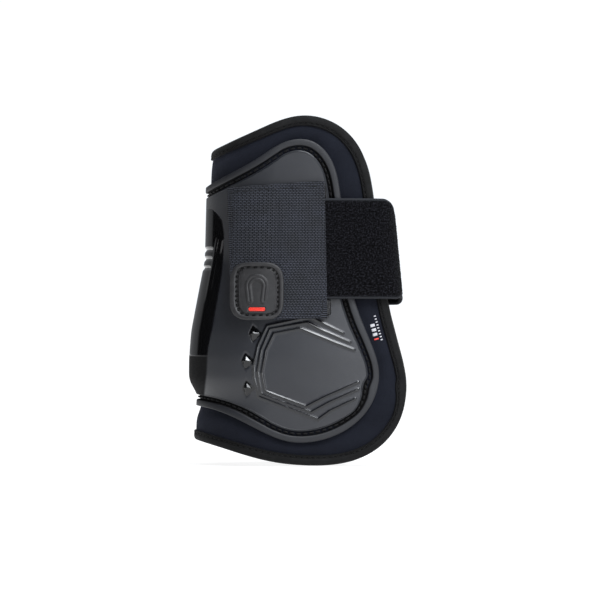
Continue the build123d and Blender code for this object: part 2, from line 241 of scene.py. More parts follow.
class Sheet:
    """Collects quads over shared points and turns them into one mesh."""

    def __init__(self):
        self.points = []
        self.uvs = []
        self.paints = []
        self.quads = []
        self.total = 0

    def add_points(self, points, uv, polish=0.0, tone=0.0):
        """Points with their cloth place in mm, their polish (0..1) and their tone (-1..1)."""
        shape = points.shape[:-1]
        count = int(np.prod(shape))
        self.points.append(points.reshape(-1, 3))
        self.uvs.append(np.broadcast_to(uv, shape + (2,)).reshape(-1, 2))
        paint = np.stack(np.broadcast_arrays(polish, tone, np.zeros(shape))[:2], axis=-1)
        self.paints.append(paint.reshape(-1, 2))
        index = np.arange(self.total, self.total + count).reshape(shape)
        self.total += count
        return index

    def add_quads(self, index, flip=False, closed=False):
        """Quads over a 2-D array of point numbers; closed joins the last column to the first."""
        if closed:
            index = np.concatenate([index, index[:, :1]], axis=1)
        corners = index[:-1, :-1], index[1:, :-1], index[1:, 1:], index[:-1, 1:]
        quads = np.stack(corners, axis=-1).reshape(-1, 4)
        self.quads.append(quads[:, ::-1] if flip else quads)

    def make(self, name, period=None):
        """The mesh object.  period is the cloth length after which its first coordinate repeats."""
        points = np.concatenate(self.points) * MM
        uvs = np.concatenate(self.uvs)
        paints = np.concatenate(self.paints)
        quads = np.concatenate(self.quads)
        corner_uvs = uvs[quads]
        if period:
            farthest = corner_uvs[..., 0].max(axis=1, keepdims=True)
            corner_uvs[..., 0] += period * (corner_uvs[..., 0] < farthest - period / 2)
        mesh = bpy.data.meshes.new(name)
        mesh.vertices.add(len(points))
        mesh.vertices.foreach_set("co", points.astype(np.float32).ravel())
        mesh.loops.add(quads.size)
        mesh.loops.foreach_set("vertex_index", quads.astype(np.int32).ravel())
        mesh.polygons.add(len(quads))
        mesh.polygons.foreach_set("loop_start", np.arange(0, quads.size, 4, dtype=np.int32))
        mesh.update(calc_edges=True)
        layer = mesh.uv_layers.new(name="Cloth")
        layer.data.foreach_set("uv", (corner_uvs * 0.1).astype(np.float32).ravel())
        for column, attribute in enumerate(("polish", "tone")):
            values = mesh.attributes.new(attribute, "FLOAT", "POINT")
            values.data.foreach_set("value", paints[:, column].astype(np.float32))
        mesh.validate()
        mesh.shade_smooth()
        return link(name, mesh)


def plain_paint(u, z, x, row):
    return 0.0, 0.0


def plate(name, loop, counts, rows, face_depth, relief=None, wave=None, paint=plain_paint):
    """A piece of the wall: an edge profile swept round a loop, a face inside it and a back.

    rows are (distance in from the loop, depth), from the back's edge to the face's edge.  relief
    gives extra depth on the face from (u, z, x); wave gives extra depth all over the rows; paint
    gives (polish, tone) from (u, z, x, distance in from the loop), which is None on the face."""
    sheet = Sheet()
    normal = inward(loop)
    index = []
    for distance, depth in rows:
        place = loop + distance * normal
        extra = 0 if wave is None else wave(place, distance, depth)
        points = wrap(place[:, 0], place[:, 1], depth + extra)
        looks = paint(place[:, 0], place[:, 1], points[:, 0], distance)
        index.append(sheet.add_points(points, place, *looks))
    index = np.array(index)
    sheet.add_quads(index, closed=True)
    across, down = counts
    for row, is_face in ((index[-1], True), (index[0], False)):
        distance, depth = rows[-1] if is_face else rows[0]
        grid = coons(loop + distance * normal, counts)
        numbers = np.empty((down + 1, across + 1), int)
        numbers[0], numbers[:, -1], numbers[-1], numbers[:, 0] = four_sides(row, counts)
        inner = grid[1:-1, 1:-1]
        deep = np.full(inner.shape[:2], float(depth))
        if is_face:
            deep = deep + (face_depth - depth)
            if relief is not None:
                flat = wrap(inner[..., 0], inner[..., 1], deep)
                deep = deep + relief(inner[..., 0], inner[..., 1], flat[..., 0])
        points = wrap(inner[..., 0], inner[..., 1], deep)
        looks = paint(inner[..., 0], inner[..., 1], points[..., 0], None) if is_face else (0.0, 0.0)
        numbers[1:-1, 1:-1] = sheet.add_points(points, inner, *looks)
        sheet.add_quads(numbers, flip=is_face)
    return sheet.make(name)


def line_distance(x, z, points):
    """Distance of each (x, z) from a polyline."""
    best = np.full(x.shape, 1e9)
    for (x0, z0), (x1, z1) in zip(points[:-1], points[1:]):
        dx, dz = x1 - x0, z1 - z0
        t = np.clip(((x - x0) * dx + (z - z0) * dz) / (dx * dx + dz * dz), 0, 1)
        best = np.minimum(best, np.hypot(x - x0 - t * dx, z - z0 - t * dz))
    return best


def ease(t):
    t = np.clip(t, 0, 1)
    return t * t * (3 - 2 * t)


def wraps_back(piece, node):
    """The piece is baked in place and stands in for the CAD node's outer and inner side parts."""
    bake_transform(piece)
    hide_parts(node + "_outer_side", node + "_inner_side")
    return piece


# ---- neoprene lining ----
def foam_swell(u, z, x):
    """The foam stands proud between the shell's edge and the binding."""
    to_shell = line_distance(x, z, SHELL_LINE)
    to_boot = line_distance(x, z, BOOT_LINE)
    outside = to_boot < BOOT_TO_SHELL_MAX
    share = np.clip((to_boot - BINDING_WIDTH) / (to_boot - BINDING_WIDTH + to_shell + 0.01), 0, 1)
    return np.where(outside, FOAM_SWELL * 4 * share * (1 - share), 0.0) * ease((x + 46) / 14)


BOOT_LINE = spline(BOOT_EDGE, 120)
SHELL_LINE = spline(SHELL_EDGE, 120)
BOOT_TO_SHELL_MAX = 19.0
FOAM_SWELL = 0.9
LINING_ROWS = [
    (1.6, 0.0), (1.2, 0.1), (1.05, 0.5), (1.0, 1.2), (1.0, 3.8), (1.05, 4.5), (1.2, 4.85), (1.6, 5.0),
]


def make_lining():
    counts = (230, 120)
    loop = wrapped_loop(BOOT_EDGE, FOAM_FACE, counts, (156, 14))
    lining = plate("neoprene_lining", loop, counts, LINING_ROWS, FOAM_FACE, foam_swell)
    return wraps_back(lining, "neoprene_lining")


# ---- edge binding ----
BINDING_ROWS = [
    (4.9, 0.0), (5.0, -0.5), (4.75, -0.95), (4.1, -0.9), (3.8, -0.75), (3.5, -0.92), (2.2, -1.0),
    (1.0, -0.75), (0.35, -0.1), (0.05, 1.0), (0.0, 2.5), (0.05, 4.2), (0.35, 5.2), (0.9, 5.75),
    (1.7, 6.05), (2.6, 6.15), (3.2, 6.1), (3.55, 5.92), (3.8, 5.8), (4.05, 5.92), (4.4, 6.05),
    (4.65, 6.0), (4.9, 5.8), (5.0, 5.4), (4.9, 4.9),
]


def tape_wave(place, distance, depth):
    """Slow puckers of the tape between its stitches."""
    u, z = place[:, 0], place[:, 1]
    along = np.cumsum(np.hypot(*(place - np.roll(place, 1, axis=0)).T))
    pucker = np.sin(along * 2 * math.pi / 3.1) * 0.05 * math.exp(-((distance - 3.8) / 1.4) ** 2)
    slow = 0.1 * np.sin(along / 7.3 + 1) * np.sin(along / 11.7) + 0.05 * np.sin(along / 2.9 + z / 9)
    sign = 1 if depth > 2.5 else -1
    return sign * (pucker + slow * (1 if abs(depth - 2.5) > 1 else 0))


def make_binding():
    counts = (460, 260)
    loop = wrapped_loop(BOOT_EDGE, FOAM_FACE, counts, (148, 30))
    normal = inward(loop)
    sheet = Sheet()
    along = run_length(loop)
    index = []
    around = 0
    previous = BINDING_ROWS[0]
    for distance, depth in BINDING_ROWS:
        around += math.hypot(distance - previous[0], depth - previous[1])
        previous = (distance, depth)
        place = loop + distance * normal
        deep = depth + tape_wave(place, distance, depth)
        uv = np.stack([along, np.full(len(along), around)], axis=-1)
        # Painted shade: the tape is painted black in the dip of its stitch line and along its inner fold.
        crease_shade = depth > 4.5 and (3.5 < distance < 4.1 or distance > 4.6)
        tone = -1.0 if crease_shade else 0.0
        index.append(sheet.add_points(wrap(place[:, 0], place[:, 1], deep), uv, tone=tone))
    index.append(index[0])
    sheet.add_quads(np.array(index), closed=True)
    binding = sheet.make("edge_binding", period=along[-1] + np.hypot(*(loop[0] - loop[-1])))
    return wraps_back(binding, "edge_binding")


# ---- moulded shell ----
RIB_LINES = [
    [(27.1, 55.2), (18.1, 58.6), (1.4, 65.5), (-11.0, 63.1), (-14.8, 55.2), (-16.7, 44.3),
     (-15.2, 35.5), (4.3, 28.2), (13.3, 32.9), (29.0, 39.8)],
    [(25.2, 58.8), (11.9, 64.5), (4.8, 68.3), (-12.9, 65.2), (-17.1, 55.2), (-18.8, 44.8),
     (-17.1, 34.2), (6.7, 25.5), (15.7, 30.5), (29.0, 36.4)],
    [(21.9, 63.1), (10.5, 68.8), (6.5, 71.2), (-14.3, 66.7), (-18.6, 57.6), (-20.7, 48.1),
     (-20.5, 41.9), (-18.1, 32.9), (10.0, 22.1), (15.7, 26.2), (27.6, 31.9)],
]
STUD_PLACES = [(-20.0, 63.0), (-23.6, 50.0), (-23.2, 37.0)]
# How steeply each stud's flat facet falls, forward and upward.
FACET_SLOPES = [(0.32, 0.27), (0.49, 0.53), (0.53, 0.53)]
STUD_WIDTH, STUD_HEIGHT, STUD_PEAK_BACK = 5.0, 6.2, 1.1
SPINE_GROOVE_HEIGHTS = (94.3, 98.6, 103.0)
RIB_RISE, STUD_RISE, SPINE_LINE_RISE, SPINE_GROOVE_DEPTH = 0.5, 1.4, 0.25, 0.8
SHELL_ROWS = [
    (1.0, 5.05), (0.3, 5.1), (0.0, 5.4), (0.0, 6.7), (0.1, 7.1), (0.3, 7.36), (0.6, 7.45),
    (1.6, 7.48), (2.6, 7.45), (2.9, 7.34), (3.1, 7.05), (3.2, 6.4), (3.3, 5.8), (3.6, 5.55),
    (4.3, 5.5), (5.0, 5.55), (5.3, 5.95), (5.4, 6.4), (5.5, 6.8), (5.75, 6.97), (6.1, 7.0),
]
SPINE_LINES = [[(-36.4, 108.0), (-42.0, 77.0)], [(-38.4, 108.5), (-44.2, 78.0)]]
# The back is dark and glossy forward to these x at these heights.  Its lowest part isn't polished: there it
# is painted matt black, a painted dark reflection.
BLACK_LOW, POLISH_LOW, BLACK_HIGH = 31, 51.6, 124
GLOSS_HEIGHTS = [34, 44, 56, 64.5, 79, 92, 101, 111, 117, 120, 122.5, 124]
GLOSS_ENDS = [-45.0, -43.5, -42.9, -41.0, -38.4, -36.3, -35.5, -35.2, -36.2, -38.4, -41.2, -47]


def from_ribs(x, z):
    return np.minimum.reduce([line_distance(x, z, line) for line in RIB_LINES])


def stud_place(x, z, stud):
    """How far (x, z) is from a stud's peak, 1 at its edge, across and up."""
    across = x - stud[0] + STUD_PEAK_BACK
    reach = np.where(across > 0, STUD_WIDTH / 2 + STUD_PEAK_BACK, STUD_WIDTH / 2 - STUD_PEAK_BACK)
    return np.abs(across) / reach + np.abs(z - stud[1]) / (STUD_HEIGHT / 2)


def panel_relief(u, z, x):
    """Ribs, studs and the grooves over the back, as extra depth."""
    extra = RIB_RISE * np.clip((1.05 - from_ribs(x, z)) / 0.85, 0, 1)
    for stud, (forward, up) in zip(STUD_PLACES, FACET_SLOPES):
        away = stud_place(x, z, stud)
        cut = 0.7 - forward * (x - stud[0] - 0.2) - up * (z - stud[1] - 0.3)
        extra += np.clip(np.minimum(STUD_RISE * (1 - away), cut), 0, None)
        extra -= 0.3 * np.exp(-(((away - 1.25) / 0.25) ** 2)) * (x < stud[0] + 1)
    for line in SPINE_LINES:
        faded = ease((z - 76) / 10)
        extra += SPINE_LINE_RISE * ease((1.3 - line_distance(x, z, line)) / 1.2) * faded
    for height in SPINE_GROOVE_HEIGHTS:
        groove = np.exp(-(((z - height) / 0.75) ** 2)) * ease((15 - np.abs(u)) / 4)
        extra -= SPINE_GROOVE_DEPTH * groove
    return extra


def shell_paint(u, z, x, distance):
    """The back, ribs and studs are polished and the studs darker; the rim is duller; the groove inside it is
    painted black, a painted shade, and the lowest back is painted matt black, a painted dark reflection.
    """
    ends = np.interp(z, GLOSS_HEIGHTS, GLOSS_ENDS)
    black = ease((ends - x) / 1.2 + 0.5) * ease((z - BLACK_LOW) / 3) * ease((BLACK_HIGH - z) / 1.5)
    polish = black * ease((z - POLISH_LOW) / 1.4)
    # Painted dark reflection: below POLISH_LOW the back is unpolished and its tone goes to -1, which paints
    # it matt black.
    tone = polish - black
    if distance is None:
        polish = np.maximum(polish, 0.72 * ease((0.9 - from_ribs(x, z)) / 0.4))
        for stud in STUD_PLACES:
            on_stud = ease((1.45 - stud_place(x, z, stud)) / 0.25)
            polish = np.maximum(polish, 0.9 * on_stud)
            tone = tone - 0.6 * on_stud
    elif distance < RIM_WIDTH - 0.1:
        tone = tone - 0.3
    elif distance < RIM_WIDTH + GROOVE_WIDTH:
        # Painted shade: the groove is painted black.
        tone = tone - 1.0
    return polish, tone


def make_shell():
    counts = (410, 310)
    loop = wrapped_loop(SHELL_EDGE, SHELL_FACE, counts, (151, 22), fine=2.2)
    shell = plate("shell", loop, counts, SHELL_ROWS, PANEL_FACE, panel_relief, paint=shell_paint)
    return wraps_back(shell, "shell")


# ---- stitches ----
def stitches(name, line, depth_at, pitch, length, radius, lift=0.3, hidden=None):
    """Separate stitches round a (u, z) loop, each a short rounded bar that dives in at its ends.

    hidden is a (u, z, u, z) box with no stitches in it."""
    steps = np.concatenate([line, line[:1]])
    s = run_length(steps)
    count = int(round(s[-1] / pitch))
    pitch = s[-1] / count
    sheet = Sheet()
    share = np.linspace(-1, 1, 9)
    ring = np.linspace(0, 2 * math.pi, 9)[:-1]
    for k in range(count):
        centre = (k + 0.5) * pitch
        t = centre + share * length / 2
        u = np.interp(t, s, steps[:, 0])
        z = np.interp(t, s, steps[:, 1])
        if hidden and hidden[0] < u.mean() < hidden[2] and hidden[1] < z.mean() < hidden[3]:
            continue
        lift_here = lift * (1 - share**4) - 0.5 * radius * share**6
        thick = radius * np.sqrt(np.clip(1 - np.abs(share) ** 5, 0.02, 1))
        du, dz = np.gradient(u), np.gradient(z)
        size = np.hypot(du, dz)
        nu, nz = -dz / size, du / size
        uu = u[:, None] + nu[:, None] * thick[:, None] * np.cos(ring)
        zz = z[:, None] + nz[:, None] * thick[:, None] * np.cos(ring)
        dd = depth_at + lift_here[:, None] + thick[:, None] * np.sin(ring)
        uv = np.stack(np.broadcast_arrays(t[:, None], ring[None] * radius), axis=-1)
        index = sheet.add_points(wrap(uu, zz, dd), uv)
        sheet.add_quads(index, closed=True)
        first, last = index[0], index[-1]
        cap = np.array([(j, j + 1, 6 - j, (7 - j) % 8) for j in (0, 1, 2)])
        sheet.quads.append(first[cap])
        sheet.quads.append(last[cap[:, ::-1]])
    return sheet.make(name)


def make_wall_seams():
    counts = (900, 500)
    loop = wrapped_loop(BOOT_EDGE, FOAM_FACE, counts, (148, 30))
    tape_seam = stitches("binding_stitches", loop + 3.8 * inward(loop), 5.82, 2.6, 2.0, 0.2, lift=0.12)
    wraps_back(tape_seam, "binding_seam")
    loop = wrapped_loop(SHELL_EDGE, SHELL_FACE, counts, (146, 28))
    shell_seam = stitches("shell_stitches", loop + 4.3 * inward(loop), 5.95, 3.0, 2.4, 0.42, lift=0.3)
    wraps_back(shell_seam, "shell_seam")
    return tape_seam, shell_seam


lining = make_lining()
binding = make_binding()
shell = make_shell()
tape_seam, shell_seam = make_wall_seams()

# ---- strap: one band from the inner side, round the front, to the tab ----
STRAP_MIDDLE, STRAP_WIDTH, STRAP_THICK = 103.5, 48.0, 1.8
STRAP_DROP = 3.0
FRONT_X, FRONT_LEAN, FOLD_X = 47.0, 0.095, 38.0
NEAR_DEPTH, FAR_DEPTH = 8.4 + STRAP_THICK / 2, 7.5 + STRAP_THICK / 2
INNER_END_X, TAB_END_X = -4.0, -8.0


def heading_at(x, depth):
    middle = back_at(STRAP_MIDDLE) + half_at(STRAP_MIDDLE)
    return math.asin((x - middle) / (SIDE_RADIUS + depth))


NEAR_TURN, FAR_TURN = heading_at(FOLD_X, NEAR_DEPTH), heading_at(FOLD_X, FAR_DEPTH)
NEAR_BEND = (FRONT_X - FOLD_X) / (1 - math.sin(NEAR_TURN))
FAR_BEND = (FRONT_X - FOLD_X) / (1 - math.sin(FAR_TURN))
U_INNER_END = float(unroll(INNER_END_X, STRAP_MIDDLE, FAR_DEPTH))
U_FAR_FOLD = float(unroll(FOLD_X, STRAP_MIDDLE, FAR_DEPTH))
U_NEAR_FOLD = float(unroll(FOLD_X, STRAP_MIDDLE, NEAR_DEPTH))
U_TAB_END = float(unroll(TAB_END_X, STRAP_MIDDLE, NEAR_DEPTH))
FAR_FOLD = wrap(-U_FAR_FOLD, STRAP_MIDDLE, FAR_DEPTH)
NEAR_FOLD = wrap(U_NEAR_FOLD, STRAP_MIDDLE, NEAR_DEPTH)
FAR_CENTRE = FAR_FOLD[:2] - FAR_BEND * np.array([math.sin(FAR_TURN), math.cos(FAR_TURN)])
NEAR_CENTRE = NEAR_FOLD[:2] + NEAR_BEND * np.array([-math.sin(NEAR_TURN), math.cos(NEAR_TURN)])
S_FAR_FOLD = U_FAR_FOLD - U_INNER_END
S_FRONT_START = S_FAR_FOLD + FAR_BEND * (math.pi / 2 - FAR_TURN)
S_FRONT_STOP = S_FRONT_START + (FAR_CENTRE[1] - NEAR_CENTRE[1])
S_NEAR_FOLD = S_FRONT_STOP + NEAR_BEND * (math.pi / 2 - NEAR_TURN)
S_END = S_NEAR_FOLD + (U_NEAR_FOLD - U_TAB_END)
S_FRONT_MIDDLE = (S_FRONT_START + S_FRONT_STOP) / 2


def strap_point(s, z, out):
    """Points at length s along the strap, height z and `out` in front of its middle layer."""
    s, z, out = np.broadcast_arrays(np.asarray(s, float), z, out)
    lean = -FRONT_LEAN * (z - STRAP_MIDDLE)

    def on_side(u, depth):
        at_height = wrap(u, z, depth + out)
        straight = wrap(u, STRAP_MIDDLE + 0 * z, depth + out)
        straight[..., 2] = z
        straight[..., 0] += lean
        share = ease((at_height[..., 0] - 22) / (FOLD_X - 22))[..., None]
        return (1 - share) * at_height + share * straight

    far_u = -(U_INNER_END + np.clip(s, 0, S_FAR_FOLD))
    near_u = U_NEAR_FOLD - np.clip(s - S_NEAR_FOLD, 0, None)
    far_side = on_side(far_u, FAR_DEPTH)
    near_side = on_side(near_u, NEAR_DEPTH)
    def round_fold(turn, centre, bend, side):
        x = centre[0] + (bend + out) * np.sin(turn) + lean
        return np.stack([x, centre[1] + side * (bend + out) * np.cos(turn), z], axis=-1)

    far_bend = round_fold(FAR_TURN + (s - S_FAR_FOLD) / FAR_BEND, FAR_CENTRE, FAR_BEND, 1)
    front = np.stack([FRONT_X + out + lean, FAR_CENTRE[1] - (s - S_FRONT_START), z], axis=-1)
    near_bend = round_fold(NEAR_TURN + (S_NEAR_FOLD - s) / NEAR_BEND, NEAR_CENTRE, NEAR_BEND, -1)
    point = far_side
    starts = (S_FAR_FOLD, S_FRONT_START, S_FRONT_STOP, S_NEAR_FOLD)
    for start, piece in zip(starts, (far_bend, front, near_bend, near_side)):
        point = np.where((s > start)[..., None], piece, point)
    return point


def strap_edges(s):
    """Heights of the strap's lower and upper edge along its length."""
    low = STRAP_MIDDLE - STRAP_WIDTH / 2
    high = STRAP_MIDDLE + STRAP_WIDTH / 2
    dropped = STRAP_DROP * ease((S_NEAR_FOLD - s) / (S_NEAR_FOLD - S_FAR_FOLD))
    forward = strap_point(s, STRAP_MIDDLE, 0.0)[..., 0]

    def corner(radius):
        share = np.clip((forward - FRONT_X + radius) / radius, 0, 1)
        return radius * (1 - np.sqrt(1 - share**2))

    return low - dropped + corner(2.6), high - dropped - corner(4.2)


STRAP_STEPS = 96
EDGE_STEPS = 4


def strap_piece(name, start, stop, step):
    """A closed length of the strap, with loop pile on its face and a smooth selvedge."""
    count = int(round((stop - start) / step))
    s = np.linspace(start, stop, count + 1)[:, None]
    low, high = strap_edges(s)
    half_thick = STRAP_THICK / 2
    edge_turn = np.linspace(-math.pi / 2, math.pi / 2, EDGE_STEPS + 2)[1:-1]
    face = np.linspace(0, 1, STRAP_STEPS + 1)
    back = face[::-1]
    round_in = half_thick * 0.8
    across = np.concatenate([face, 1 + 0 * edge_turn, back, 0 * edge_turn])
    spread = np.concatenate([0 * face, np.cos(edge_turn), 0 * back, -np.cos(edge_turn)])
    out = np.concatenate([half_thick + 0 * face, -half_thick * np.sin(edge_turn),
                          -half_thick + 0 * back, half_thick * np.sin(edge_turn)])
    z = low + round_in + (high - low - 2 * round_in) * across + round_in * spread
    is_face = np.concatenate([np.ones(STRAP_STEPS + 1), np.zeros(len(out) - STRAP_STEPS - 1)])
    from_edge = np.minimum(z - low, high - z)
    pile = pile_height(s + 0 * z, z) * is_face * ease((from_edge - 1.3) / 0.8)
    lip = -0.25 * np.exp(-(((from_edge - 1.5) / 0.45) ** 2)) * is_face
    points = strap_point(s + 0 * z, z, out + pile + lip)
    selvedge = ease((1.35 - from_edge) / 0.5)
    sheet = Sheet()
    cloth = np.stack([s + 0 * z, z + (1 - is_face) * 60], axis=-1)
    index = sheet.add_points(points, cloth, tone=selvedge)
    sheet.add_quads(index, closed=True, flip=True)
    under = STRAP_STEPS + 1 + EDGE_STEPS
    for row, flip in ((index[0], False), (index[-1], True)):
        ends = np.stack([row[: STRAP_STEPS + 1], row[under : under + STRAP_STEPS + 1][::-1]])
        sheet.add_quads(ends, flip=flip)
        for first, last in ((STRAP_STEPS, under), (under + STRAP_STEPS, len(row))):
            bend = [row[k % len(row)] for k in range(first, last + 1)]
            sheet.add_quads(np.array([bend[:3], bend[:2:-1]]), flip=flip)
    return sheet.make(name)


PILE = rng.normal(size=(1200, 400))


def pile_height(s, z):
    """Uneven loops about 0.7 mm across."""
    row = np.clip(s / 0.5, 0, 1198)
    column = np.clip((z - 60) / 0.5, 0, 398)
    i, j = row.astype(int), column.astype(int)
    a, b = row - i, column - j
    value = (PILE[i, j] * (1 - a) * (1 - b) + PILE[i + 1, j] * a * (1 - b)
             + PILE[i, j + 1] * (1 - a) * b + PILE[i + 1, j + 1] * a * b)
    return 0.16 * value


TAB_FOLD_X = 16.55
S_TAB_FOLD = S_NEAR_FOLD + U_NEAR_FOLD - float(unroll(TAB_FOLD_X, STRAP_MIDDLE, NEAR_DEPTH))
S_NEAR_MIDDLE = (S_NEAR_FOLD + S_TAB_FOLD) / 2


def make_strap():
    """The band as three sheets, split at the middle of the front and on the outer side, baked in place for
    the CAD band nodes.
    """
    lengths = (
        ("strap_inner_half", 0, S_FRONT_MIDDLE, 0.55, "inner_side", "strap_front",
         S_FAR_FOLD - 7, S_FAR_FOLD + 9, ("band_inner_end", "band_front")),
        ("strap_outer_half", S_FRONT_MIDDLE, S_NEAR_MIDDLE, 0.5, "strap_front", "strap_near",
         S_NEAR_FOLD - 8, S_NEAR_FOLD + 7, ("band_outer_side",)),
        ("strap_tab_end", S_NEAR_MIDDLE, S_END, 0.5, "strap_near", "strap_tab",
         S_TAB_FOLD - 5, S_TAB_FOLD + 3, ("band_tab_end",)),
    )
    made = []
    for name, start, stop, step, first, second, bend_from, bend_to, nodes in lengths:
        piece = strap_piece(name, start, stop, step)
        ends = [strap_point(np.array(s), STRAP_MIDDLE, 0.0) for s in (bend_from, bend_to)]
        ends = [tuple(float(v) * MM for v in end) for end in ends]
        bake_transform(piece)
        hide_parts(*nodes)
        made.append(piece)
    return made


# ---- tab ----
TAB_OUTLINE = [(-34.0, 132.6), (13.2, 135.7), (14.6, 70.2), (-16.0, 69.7), (-28.9, 79.0), (-32.6, 92.0)]
HOOK_OUTLINE = [(-32.2, 131.0), (13.8, 134.1), (16.4, 71.8), (-15.0, 71.3), (-27.4, 80.2), (-30.9, 92.0)]
PATCH_OUTLINE = [(-30.0, 128.5), (12.6, 132.0), (13.0, 73.4), (-14.0, 73.0), (-25.5, 81.2), (-28.8, 92.0)]
WEBBING = (10.3, 11.5)


def rounded(points, radius):
    """A closed polygon with rounded corners as (dense line, number of each corner's middle point)."""
    line, corners = [], []
    count = len(points)

    def towards(here, there):
        return here + (there - here) * min(radius / np.hypot(*(there - here)), 0.45)

    for k in range(count):
        before, here, after = (np.array(points[(k + j) % count], float) for j in (-1, 0, 1))
        start, stop = towards(here, before), towards(here, after)
        t = np.linspace(0, 1, 9)[:, None]
        corners.append(sum(len(part) for part in line) + 4)
        line.append((1 - t) ** 2 * start + 2 * t * (1 - t) * here + t**2 * stop)
        arrive = towards(after, here)
        steps = max(int(np.hypot(*(arrive - stop)) / 0.8), 2)
        t = np.linspace(0, 1, steps + 1)[1:-1, None]
        line.append(stop + (arrive - stop) * t)
    return np.concatenate(line), corners


def side_loop(points, depth, counts, radius):
    """A rounded polygon on the outer side as an unrolled loop with counts points along its sides.

    Its first four corners are the corners of the grid."""
    line, middles = rounded(points, radius)
    marks = middles[:4]
    line = np.roll(unrolled(line, depth), -marks[0], axis=0)
    marks = [(m - marks[0]) % len(line) for m in marks] + [len(line)]
    line = np.concatenate([line, line[:1]])
    sides = []
    for k in range(4):
        side = line[marks[k] : marks[k + 1] + 1]
        sides.append(resample(side, np.linspace(0, 1, counts[k % 2] + 1))[:-1])
    return np.concatenate(sides)


def inset_polygon(points, inset):
    """A clockwise polygon with every side moved in by a distance."""
    corners = np.array(points, float)
    ahead = np.roll(corners, -1, axis=0) - corners
    ahead /= np.hypot(*ahead.T)[:, None]
    moved = corners + inset * np.stack([ahead[:, 1], -ahead[:, 0]], axis=-1)
    result = []
    for k in range(len(corners)):
        side, before = ahead[k], ahead[k - 1]
        gap = moved[k] - moved[k - 1]
        turn = before[0] * side[1] - before[1] * side[0]
        result.append(tuple(moved[k - 1] + before * (gap[0] * side[1] - gap[1] * side[0]) / turn))
    return result


def outer_line(points, depth, radius):
    """A rounded polygon on the outer side as an unrolled line."""
    return unrolled(rounded(points, radius)[0], depth)


def belongs(piece, body, slot, *nodes):
    """The piece moves with a body and takes the place of CAD nodes."""
    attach(piece, body)
    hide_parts(*nodes)
    return piece


SEAM_INSET = 2.2
BADGE_MIDDLE, BADGE_SIZE = (-19.0, 83.2), (25.5, 27.5)
WEBBING_ROWS = [(0.8, 10.32), (0.2, 10.38), (0.0, 10.65), (0.02, 11.1), (0.2, 11.4), (0.6, 11.5)]
HOOK_ROWS = [(0.6, 8.1), (0.1, 8.15), (0.0, 8.4), (0.0, 9.4), (0.1, 9.8), (0.5, 10.0)]
PATCH_ROWS = [(0.6, 7.1), (0.1, 7.15), (0.0, 7.3), (0.02, 7.6), (0.2, 7.78), (0.6, 7.85)]


def over_strap(x, z, margin):
    """1 where the strap's end lies between the tab's webbing and its hook tape."""
    tall = ease((STRAP_WIDTH / 2 + margin - np.abs(z - STRAP_MIDDLE)) / 0.8)
    return tall * ease((x - TAB_END_X + margin) / 0.8)


def make_webbing():
    counts = (150, 190)
    loop = side_loop(TAB_OUTLINE, WEBBING[1], counts, 1.0)

    def relief(u, z, x):
        slack = 0.06 * np.sin(u / 6.1 + 2) * np.sin(z / 8.3)
        return 0.22 * over_strap(x, z, 0.5) + slack

    def border(u, z, x, distance):
        left, right = loop[:, 0].min(), loop[:, 0].max()
        return 0.0, ease((3.2 - np.minimum(u - left, right - u)) / 0.6)

    webbing = plate("webbing_cloth", loop, counts, WEBBING_ROWS, WEBBING[1], relief, paint=border)
    belongs(webbing, "strap_tab", "webbing", "tab_webbing")
    line = outer_line(inset_polygon(TAB_OUTLINE, SEAM_INSET), WEBBING[1], 1.5)
    high_u = float(unroll(BADGE_MIDDLE[0] + BADGE_SIZE[0] / 2, BADGE_MIDDLE[1], WEBBING[1]))
    high_z = BADGE_MIDDLE[1] + BADGE_SIZE[1] / 2
    under_badge = (high_u - 90, BADGE_MIDDLE[1] - 90, high_u + 0.5, high_z + 0.5)
    seam = stitches("tab_stitches", line, WEBBING[1], 2.6, 2.05, 0.2, lift=0.1, hidden=under_badge)
    belongs(seam, "strap_tab", "thread", "tab_seam")
    return webbing, seam


def make_hook():
    """Hook tape behind the webbing, pressed flat where the strap's end lies on it."""
    counts = (110, 140)
    loop = side_loop(HOOK_OUTLINE, HOOK_ROWS[-1][1], counts, 1.0)

    def pressed(u, z, x):
        return (8.3 - HOOK_ROWS[-1][1]) * over_strap(x, z, 0.9)

    def edge(place, distance, depth):
        x = wrap(place[:, 0], place[:, 1], depth)[:, 0]
        return min(8.3 - depth, 0) * over_strap(x, place[:, 1], 0.9)

    hook = plate("hook_tape", loop, counts, HOOK_ROWS, HOOK_ROWS[-1][1], pressed, edge)
    return belongs(hook, "strap_tab", "hook", "tab_hook")


def make_patch():
    """Loop tape on the shell that the tab presses on, and its seam."""
    counts = (100, 130)
    loop = side_loop(PATCH_OUTLINE, PATCH_ROWS[-1][1], counts, 1.0)

    def pile(u, z, x):
        return 0.6 * pile_height(np.abs(u) * 3, z)

    patch = plate("patch_tape", loop, counts, PATCH_ROWS, PATCH_ROWS[-1][1] - 0.1, pile)
    line = outer_line(inset_polygon(PATCH_OUTLINE, SEAM_INSET), PATCH_ROWS[-1][1], 1.5)
    seam = stitches("patch_stitches", line, PATCH_ROWS[-1][1] - 0.15, 2.8, 2.2, 0.18, lift=0.06)
    belongs(patch, "outer_side", "loop", "loop_patch")
    belongs(seam, "outer_side", "thread", "loop_patch_seam")
    return patch, seam


def make_inner_seam():
    """The box of stitches that holds the strap's inner end to the shell."""
    front = INNER_END_X + 20
    low = STRAP_MIDDLE - STRAP_WIDTH / 2 - STRAP_DROP
    high = low + STRAP_WIDTH
    box = [(INNER_END_X, high), (front, high), (front, low), (INNER_END_X, low)]
    line = outer_line(inset_polygon(box, 2.3), FAR_DEPTH, 0.4)
    top = FAR_DEPTH + STRAP_THICK / 2
    seam = stitches("inner_end_stitches", line * np.array([-1, 1]), top, 2.9, 2.3, 0.26, lift=0.12)
    return belongs(seam, "inner_side", "thread", "band_inner_end_seam")


